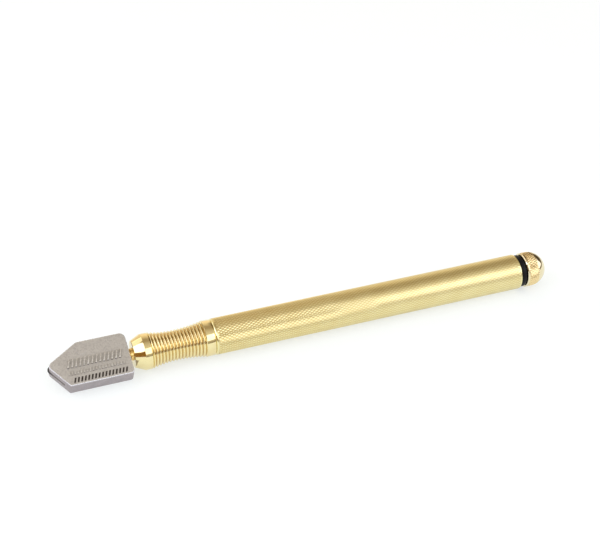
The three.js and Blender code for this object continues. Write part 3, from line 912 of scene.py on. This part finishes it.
def make_head():
    head = prism("cutting_head_cast", head_outline(), -HEAD_TOP, HEAD_TOP, HEAD_EDGE)
    carve(head, head_cutters())
    boss = rod_along_z(
        "ejector_boss", EJECTOR_CENTRE, HEAD_TOP - EJECTOR_BOSS_ROOT, HEAD_TOP - EJECTOR_BOSS_DROP,
        EJECTOR_BOSS_RADIUS, 64, EJECTOR_BOSS_EDGE,
    )
    carve(head, [boss], "UNION")
    shade(head, 32)
    head.data.materials.clear()
    head.data.materials.append(ZINC)
    # Second material: zinc with a painted highlight, for the rounded rims.
    head.data.materials.append(RIM_HIGHLIGHT_ZINC)
    for face in head.data.polygons:
        face.material_index = int(RIM_FACING[0] < abs(face.normal.z) < RIM_FACING[1])
    flat_faces = head.modifiers.new("flat_faces", "WEIGHTED_NORMAL")
    flat_faces.keep_sharp = True
    flat_faces.weight = 80
    place(head, HEAD, "head", "cast_zinc", ZINC, "cutting_head")


def bar_row(name, row, bottom, top, edge, fillet):
    """The bars of a row between two heights, with rounded rims and corners."""
    near, far = row.y - row.height / 2, row.y + row.height / 2
    bars = []
    for i in range(row.count):
        x = row.first_x + row.pitch * i
        left, right = x - row.width / 2, x + row.width / 2
        corners = [
            (left - row.slant, near, fillet), (right - row.slant, near, fillet),
            (right + row.slant, far, fillet), (left + row.slant, far, fillet),
        ]
        bars.append(prism(f"{name}_{i}", filleted(corners, 4), bottom, top, edge, 2))
    return bars


def join(name, pieces):
    """Makes one object of several."""
    with bpy.context.temp_override(active_object=pieces[0], selected_editable_objects=pieces):
        bpy.ops.object.join()
    pieces[0].name = name
    return pieces[0]


def make_raised_marks():
    """Plain relief on the upper face: a row of leaning grip ribs over a row of short dashes."""
    root = HEAD_TOP - MARK_ROOT
    ribs = bar_row("rib", RIBS, root, HEAD_TOP + RIB_RISE, RIB_EDGE, MARK_FILLET)
    dashes = bar_row("dash", DASHES, root, HEAD_TOP + DASH_RISE, DASH_EDGE, MARK_FILLET)
    marks = join("head_raised_marks_cast", ribs + dashes)
    # Their material paints shade on the marks' sides and a highlight on their tops.
    place(shade(marks, 40), HEAD, "head", "cast_zinc", RAISED_ZINC)


def make_printed_band():
    """A plain printed band of equal leaning ticks, a thin film on the upper face."""
    ticks = bar_row("tick", TICKS, HEAD_TOP + INK_LOW, HEAD_TOP + INK_HIGH, 0, TICK_FILLET)
    place(join("head_printed_ticks", ticks), HEAD, "head", None, INK)


def make_wheel():
    low, high = -WHEEL_HALF_WIDTH, WHEEL_HALF_WIDTH
    shoulder = WHEEL_RADIUS - WHEEL_BEVEL
    wheel = revolve("cutting_wheel_ground", filleted([
        (low, WHEEL_BORE_RADIUS, 0.04), (low, shoulder, 0.02),
        (-WHEEL_LAND, WHEEL_RADIUS, 0.02), (WHEEL_LAND, WHEEL_RADIUS, 0.02),
        (high, shoulder, 0.02), (high, WHEEL_BORE_RADIUS, 0.04),
    ], 3), 128)
    upright = Matrix.Translation(wheel_centre) @ Matrix.Rotation(-pi / 2, 4, "Y")
    place(wheel, HEAD @ upright, "wheel", "hard_metal", HARD_METAL, "cutting_wheel")


def make_head_pin(node, centre, top, radius, edge):
    """A ground steel pin across the head, from just inside its lower face."""
    bottom = -HEAD_TOP + PIN_RECESS
    pin = rod_along_z(node + "_ground", centre, bottom, top, radius, edge=edge)
    place(shade(pin), HEAD, "head", "steel", STEEL, node)


# ---------------- stem and valve


def ring_corners(start, end, inner, outer, inner_edge, outer_edge):
    """Corners of a plain ring's section, as (station, radius, fillet)."""
    return [
        (start, inner, inner_edge), (start, outer, outer_edge),
        (end, outer, outer_edge), (end, inner, inner_edge),
    ]


def make_stem():
    start, end = span("head_stem")
    clip_start, clip_end = span("stem_circlip")
    groove_start, groove_end = clip_start - CLIP_GROOVE_PLAY, clip_end + CLIP_GROOVE_PLAY
    stem = revolve("head_stem_turned", filleted([
        (start, STEM_BORE_RADIUS, 0.05), (start, STEM_RADIUS, STEM_END_FILLET),
        (STEM_NECK_START, STEM_RADIUS, 0.06), (STEM_NECK_START, STEM_NECK_RADIUS, 0.08),
        (STEM_NECK_END, STEM_NECK_RADIUS, 0.08), (STEM_NECK_END, STEM_RADIUS, 0.06),
        (groove_start, STEM_RADIUS, 0.04), (groove_start, CLIP_GROOVE_RADIUS, 0.04),
        (groove_end, CLIP_GROOVE_RADIUS, 0.04), (groove_end, STEM_RADIUS, 0.04),
        (end, STEM_RADIUS, STEM_END_FILLET), (end, PUSH_PIN_BORE_RADIUS, 0.05),
        (PUSH_PIN_BORE_START, PUSH_PIN_BORE_RADIUS, 0), (PUSH_PIN_BORE_START, STEM_BORE_RADIUS, 0),
    ]))
    reach = STEM_RADIUS + OVERSHOOT
    carve(stem, [
        rod_along_z("port_cutter", (OIL_PORT_STATION, 0), -reach, reach, OIL_PORT_RADIUS, 24),
        rod_along_z(
            "stop_pin_cutter", STOP_PIN_CENTRE, STOP_PIN_HOLE_ROOT, reach, STOP_PIN_HOLE_RADIUS, 24
        ),
    ])
    place(shade(stem), TOOL, "head", "polished_brass", STEM_BRASS, "head_stem")


def arc(radius, sweep):
    """Points (x, y) on a circle at the angles of sweep."""
    return [(radius * cos(t), radius * sin(t)) for t in sweep]


def make_clip():
    start, end = span("stem_circlip")
    sweep = np.linspace(CLIP_OPENING, 2 * pi - CLIP_OPENING, 49)
    outline = arc(CLIP_OUTER_RADIUS, sweep) + arc(CLIP_INNER_RADIUS, sweep[::-1])
    clip = prism("stem_circlip_stamped", outline, 0, end - start, 0.06)
    across = Matrix.Translation((start, 0, 0)) @ Matrix.Rotation(pi / 2, 4, "Y")
    place(shade(clip), TOOL @ across, "head", "spring_steel", SPRING_STEEL, "stem_circlip")


def make_spring(node, body, ring_radius, wire_radius, turns):
    """A closed-end coil spring between its moving body and the handle."""
    start, end = span(node)
    first, last = start + wire_radius, end - wire_radius
    steps = turns * 40
    closed_end = 0.5 / turns
    points = []
    for i in range(steps + 1):
        t = i / steps
        rise = min(max((t - closed_end) / (1 - 2 * closed_end), 0.0), 1.0)
        turn = 2 * pi * turns * t
        station = first + (last - first) * rise
        points.append((station, ring_radius * cos(turn), ring_radius * sin(turn)))
    spring = tube_along(node + "_wound", points, wire_radius)
    spring.data.transform(TOOL)
    spring.data.materials.append(SPRING_STEEL)
    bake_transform(spring)
    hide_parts(node)


def make_guide_bush():
    """The bush that guides the stem, with a slot as wide as the stop pin's swing."""
    start, end = span("guide_bush")
    corners = ring_corners(
        start, end, NOSE_BORE_RADIUS, CHAMBER_FIT_RADIUS, 0.1, CHAMBER_FIT_EDGE
    )
    bush = revolve("guide_bush_turned", filleted(corners))
    margin = asin(STOP_PIN_RADIUS / NOSE_BORE_RADIUS) + radians(2)
    reach = CHAMBER_FIT_RADIUS + OVERSHOOT
    sweep = np.linspace(-margin, SWIVEL_TRAVEL + margin, 13)
    sector = [(0.0, 0.0), *[(reach * sin(t), reach * cos(t)) for t in sweep]]
    cutter = prism("bush_slot_cutter", sector, BUSH_SLOT_START, end + OVERSHOOT)
    cutter.data.transform(Matrix(((0, 0, 1, 0), (1, 0, 0, 0), (0, 1, 0, 0), (0, 0, 0, 1))))
    carve(bush, [cutter])
    place(shade(bush), TOOL, "handle", "inner_brass", INNER_BRASS, "guide_bush")


def make_valve_seat():
    start, end = span("valve_seat")
    seat = revolve("valve_seat_turned", filleted([
        (start, VALVE_SEAT_BORE, 0.05), (start, CHAMBER_FIT_RADIUS, CHAMBER_FIT_EDGE),
        (end, CHAMBER_FIT_RADIUS, CHAMBER_FIT_EDGE), (end, VALVE_SEAT_MOUTH, 0),
        (end - VALVE_SEAT_CHAMFER, VALVE_SEAT_BORE, 0),
    ], 3), 64)
    place(seat, TOOL, "handle", "inner_brass", INNER_BRASS, "valve_seat")


def make_valve_ball():
    start, end = span("valve_ball")
    centre, radius = centre_in(TOOL, "valve_ball"), (end - start) / 2
    sweep = np.linspace(0, pi, 33)
    outline = [(centre.x - radius * cos(t), radius * sin(t)) for t in sweep]
    ball = revolve("valve_ball_lapped", outline, 64, closed=False)
    place(ball, TOOL, "valve", "steel", STEEL, "valve_ball")


def make_valve_cage():
    """The hollow plug behind the valve spring, with a slot for a screwdriver."""
    start, end = span("valve_cage")
    corners = ring_corners(
        start, end, VALVE_CAGE_BORE, CHAMBER_FIT_RADIUS, 0.06, CHAMBER_FIT_EDGE
    )
    cage = revolve("valve_cage_turned", filleted(corners))
    slot_floor, slot_top = end - DRIVER_SLOT_DEPTH, end + OVERSHOOT
    half_width = DRIVER_SLOT_HALF_WIDTH
    section = [
        (slot_floor, -half_width), (slot_top, -half_width),
        (slot_top, half_width), (slot_floor, half_width),
    ]
    reach = CHAMBER_FIT_RADIUS + OVERSHOOT
    cutter = prism("driver_slot_cutter", section, -reach, reach)
    cutter.data.transform(Matrix.Rotation(pi / 2, 4, "X"))
    carve(cage, [cutter])
    place(shade(cage), TOOL, "handle", "inner_brass", INNER_BRASS, "valve_cage")


def make_washer(node, body):
    """A stamped washer round the stem."""
    corners = ring_corners(*span(node), NOSE_BORE_RADIUS, radius_of(node), 0.06, 0.1)
    washer = revolve(node + "_stamped", filleted(corners, 3), 64)
    place(washer, TOOL, body, "steel", STEEL, node)


def make_push_pin():
    """The pin in the stem's rear end, whose tip lifts the valve ball."""
    start, end = span("valve_push_pin")
    outline = [
        (start, 0.0), (start, 0.5), (start + 0.1, 0.6),
        (end - 0.2, 0.6), (end - 0.06, 0.5), (end, 0.3), (end, 0.0),
    ]
    pin = revolve("valve_push_pin_ground", outline, 32, closed=False)
    place(pin, TOOL, "head", "steel", STEEL, "valve_push_pin")


def make_stop_pin():
    """The radial pin in the stem that stops the head's swivel in the bush's slot."""
    pin = rod_along_z(
        "swivel_stop_pin_ground", STOP_PIN_CENTRE, STOP_PIN_ROOT, STOP_PIN_TIP, STOP_PIN_RADIUS,
        32, STOP_PIN_EDGE,
    )
    place(shade(pin), TOOL, "head", "steel", STEEL, "swivel_stop_pin")


def make_wick():
    """A twisted cotton wick with six strands showing."""
    start, end = span("oil_wick")
    sweep = np.linspace(0, 2 * pi, 60, endpoint=False)
    section = []
    for t in sweep:
        reach = WICK_RADIUS + WICK_LOBE * abs(cos(3 * t))
        section.append((reach * cos(t), reach * sin(t)))
    vertices = []
    for i in range(WICK_LAYERS + 1):
        twist = 2 * pi * i / WICK_LAYERS * WICK_TWISTS
        c, s = cos(twist), sin(twist)
        x = start + (end - start) * i / WICK_LAYERS
        vertices += [(x, y * c - z * s, y * s + z * c) for y, z in section]
    faces = layered_faces(WICK_LAYERS + 1, len(section))
    wick = shade(mesh_object("oil_wick_twisted", vertices, faces), 60)
    place(wick, HEAD, "head", "wick_felt", COTTON, "oil_wick")


# ---------------- studio

# Directions are an azimuth, counted from +X, and an elevation, in degrees, as seen from the tool.
CAMERA_AZIMUTH, CAMERA_ELEVATION = -110.2, 34.0
CAMERA_DISTANCE = 0.467
CAMERA_TARGET = TOOL_ORIGIN + Vector((30.47, 0.0, 20.07)) * MM
CAMERA_LENS, CAMERA_SENSOR = 87.0, 36.0

FLOOR_HALF_SIZE = 3.0
FLOOR_GLOW, FLOOR_GLOW_STRENGTH = (0.97, 1.0, 1.0, 1), 0.6

PANEL_DISTANCE = 0.75
COOL = (0.94, 1.0, 1.18)
# Soft panels: name, azimuth, elevation, width and height in metres, radiance and color.
PANELS = (
    ("left_rear_panel", 138, 36, 0.6, 0.42, 0.85, (1.0, 0.98, 0.98)),
    ("left_panel", -164, 44, 0.66, 0.42, 2.1, COOL),
    ("front_panel", -76, 35, 0.78, 0.48, 1.12, COOL),
    ("right_panel", -20, 26, 0.66, 0.5, 1.2, COOL),
)
TABLE_LIGHT = ("table_light", 100, 68, 2.6, 2.2, 0.5, (0.85, 0.93, 1.0))
TABLE_LIGHT_DISTANCE = 1.4

HORIZON_COLOR, WALL_COLOR = (0.19, 0.14, 0.085, 1), (0.45, 0.36, 0.25, 1)
WALL_HEIGHT = 0.3
BACKDROP_COLOR = (1.0, 1.0, 1.0)
# Round patches of the room: azimuth, elevation, inner and outer radius in degrees, and color.
ROOM_PATCHES = (
    (-72, 48, 8, 50, (0.82, 0.76, 0.66)),
    (75, 0, 18, 60, (1.15, 0.97, 0.74)),
    (32, 24, 20, 31, (0.1, 0.075, 0.05)),
    (-128, 8, 20, 30, (0.3, 0.15, 0.04)),
)


def towards(azimuth, elevation):
    """Unit vector in a direction."""
    turn, rise = radians(azimuth), radians(elevation)
    flat = cos(rise)
    return Vector((cos(turn) * flat, sin(turn) * flat, sin(rise)))


def make_camera():
    """The camera looks down on the tool from its front left, with the tool low in the frame."""
    back = towards(CAMERA_AZIMUTH, CAMERA_ELEVATION)
    right = Vector((0.0, 0.0, 1.0)).cross(back).normalized()
    up = back.cross(right)
    data = bpy.data.cameras.new("camera")
    data.lens = CAMERA_LENS
    data.sensor_width = CAMERA_SENSOR
    camera = bpy.data.objects.new("camera", data)
    turn = Matrix((right, up, back)).transposed().to_4x4()
    camera.matrix_world = Matrix.Translation(CAMERA_TARGET + back * CAMERA_DISTANCE) @ turn
    bpy.context.scene.collection.objects.link(camera)
    bpy.context.scene.camera = camera


def make_floor():
    """A pale floor that glows a little, as a light table does."""
    half = FLOOR_HALF_SIZE
    corners = [(-half, -half, 0), (half, -half, 0), (half, half, 0), (-half, half, 0)]
    floor = mesh_object("floor", corners, [(0, 1, 2, 3)])
    surface = Surface("floor_paper")
    color = surface.mix(surface.noise(30, 3), (0.39, 0.41, 0.41), (0.38, 0.4, 0.4))
    gloss = surface.ramp(surface.noise(50, 2), (0.3, 0.85), (0.7, 0.95))
    surface.shader.inputs["Emission Color"].default_value = FLOOR_GLOW
    surface.shader.inputs["Emission Strength"].default_value = FLOOR_GLOW_STRENGTH
    floor.data.materials.append(surface.finish(color, gloss))


def add_panel(name, azimuth, elevation, width, height, radiance, color, distance=PANEL_DISTANCE):
    """A soft rectangular lamp that faces the tool from this direction."""
    data = bpy.data.lights.new(name, "AREA")
    data.shape = "RECTANGLE"
    data.size = width
    data.size_y = height
    data.energy = radiance * pi * width * height
    data.color = color
    lamp = bpy.data.objects.new(name, data)
    away = towards(azimuth, elevation)
    lamp.location = TOOL_ORIGIN + away * distance
    lamp.rotation_euler = away.to_track_quat("Z", "Y").to_euler()
    bpy.context.scene.collection.objects.link(lamp)
    return lamp


def make_lights():
    """Soft panels in an arc from the left rear round the front, and a light for the table alone."""
    for panel in PANELS:
        add_panel(*panel)
    table_light = add_panel(*TABLE_LIGHT, TABLE_LIGHT_DISTANCE)
    table_light.visible_glossy = False


def paint_patch(tree, view, direction, centre, inner, outer, color):
    """Paints a soft round patch of the room, fully within inner degrees and not beyond outer."""
    nearness = add_node(
        tree, "ShaderNodeVectorMath", {0: direction, 1: centre}, operation="DOT_PRODUCT"
    )
    fade = add_node(tree, "ShaderNodeMapRange", {
        "Value": nearness.outputs["Value"],
        "From Min": cos(radians(outer)),
        "From Max": cos(radians(inner)),
    })
    return mix_colors(tree, fade.outputs["Result"], view, color)


def make_world():
    """A dim warm room with lighter and darker parts, which the camera sees as plain white."""
    world = bpy.data.worlds.new("studio")
    world.use_nodes = True
    bpy.context.scene.world = world
    tree = world.node_tree
    direction = add_node(tree, "ShaderNodeTexCoord").outputs["Generated"]
    height = add_node(tree, "ShaderNodeSeparateXYZ", {0: direction}).outputs["Z"]
    room = add_node(tree, "ShaderNodeValToRGB", {"Fac": height})
    horizon, wall = room.color_ramp.elements
    horizon.position, horizon.color = 0.0, HORIZON_COLOR
    wall.position, wall.color = WALL_HEIGHT, WALL_COLOR
    view = room.outputs["Color"]
    for azimuth, elevation, *patch in ROOM_PATCHES:
        view = paint_patch(tree, view, direction, towards(azimuth, elevation), *patch)
    seen = add_node(tree, "ShaderNodeLightPath").outputs["Is Camera Ray"]
    picked = mix_colors(tree, seen, view, BACKDROP_COLOR)
    tree.links.new(picked, tree.nodes["Background"].inputs["Color"])


make_camera()
make_floor()
make_world()
make_lights()
bpy.context.scene.view_settings.view_transform = "Standard"

make_barrel()
make_end_cap()
make_o_ring("cap_o_ring", "cap_carriage", CAP_RING_SPREAD)
make_o_ring("collar_o_ring", "handle")
make_o_ring("stem_o_ring", "handle")
make_collar()
make_head()
make_raised_marks()
make_printed_band()
make_wheel()
make_head_pin("wheel_axle", wheel_centre, AXLE_TOP, AXLE_RADIUS, AXLE_EDGE)
make_head_pin("stem_retaining_pin", PIN_CENTRE, PIN_TOP, PIN_RADIUS, PIN_EDGE)
make_stem()
make_clip()
make_spring("return_spring", "press_carriage", **RETURN_SPRING)
make_spring("valve_spring", "valve", **VALVE_SPRING)
make_guide_bush()
make_valve_seat()
make_valve_ball()
make_valve_cage()
make_washer("seal_retainer", "handle")
make_washer("spring_washer", "press_carriage")
make_push_pin()
make_stop_pin()
make_wick()
